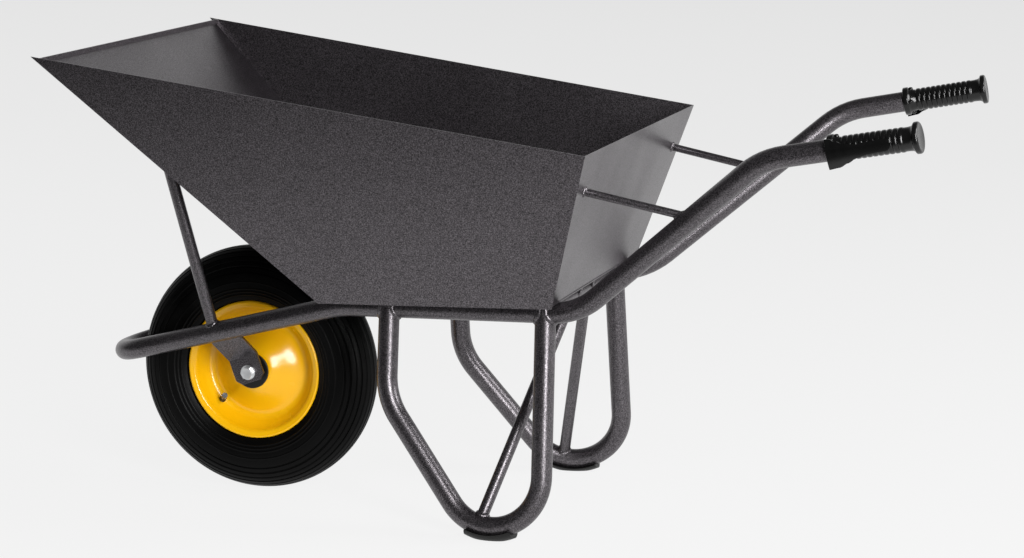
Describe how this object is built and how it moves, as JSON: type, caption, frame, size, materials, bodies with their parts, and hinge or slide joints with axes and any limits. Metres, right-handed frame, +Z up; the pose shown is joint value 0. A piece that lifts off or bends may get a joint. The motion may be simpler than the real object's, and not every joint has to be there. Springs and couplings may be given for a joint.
{
  "type": "wheelbarrow",
  "caption": "Barrow with a welded sheet tray on a bent-tube frame, bent-tube legs, ribbed handle grips and a pneumatic wheel that spins on a bolted axle.",
  "frame": {"origin": "middle of the overall box at ground level, where the tyre and the two foot pads stand", "axes": "+X from the wheel to the handles, +Z up, +Y to the right hand of a person between the handles"},
  "size_m": [1.3794, 0.6952, 0.735],
  "materials": {
    "frame_paint": "charcoal hammered enamel, glossy",
    "tray_paint": "charcoal hammered enamel with a fine speckle, glossy",
    "rim_paint": "golden yellow gloss enamel",
    "tyre_rubber": "black moulded rubber with fine ribs",
    "tube_rubber": "matt black rubber",
    "pad_rubber": "black moulded pad",
    "grip_plastic": "black ribbed moulding",
    "zinc": "bright zinc plate",
    "bearing_steel": "ground steel",
    "cover_plastic": "satin black moulding"
  },
  "bodies": {
    "barrow": {"frame_tube": "frame_paint", "rear_crossbar": "frame_paint", "leg_left": "frame_paint", "leg_right": "frame_paint", "foot_pad_left": "pad_rubber", "foot_pad_right": "pad_rubber", "leg_brace_left": "frame_paint", "leg_brace_right": "frame_paint", "front_strut_left": "frame_paint", "front_strut_right": "frame_paint", "rear_stay_left": "frame_paint", "rear_stay_right": "frame_paint", "axle_bracket_left": "frame_paint", "axle_bracket_right": "frame_paint", "tray_floor": "tray_paint", "tray_front": "tray_paint", "tray_rear": "tray_paint", "tray_side_left": "tray_paint", "tray_side_right": "tray_paint", "axle_bolt": "zinc", "axle_nut": "zinc", "axle_washers": "zinc", "axle_sleeve": "zinc", "grip_left": "grip_plastic", "grip_right": "grip_plastic"},
    "wheel": {"tyre": "tyre_rubber", "inner_tube": "tube_rubber", "rim_left": "rim_paint", "rim_right": "rim_paint", "hub_tube": "rim_paint", "bearing_left": "bearing_steel", "bearing_right": "bearing_steel", "bearing_cover_left": "cover_plastic", "bearing_cover_right": "cover_plastic", "valve_stem": "tube_rubber", "valve_cap": "cover_plastic"}
  },
  "joints": [
    {"name": "wheel_spin", "type": "hinge", "parent": "barrow", "child": "wheel", "pos_m": [-0.44137, 0, 0.2], "axis": [0, 1, 0], "continuous": true}
  ]
}
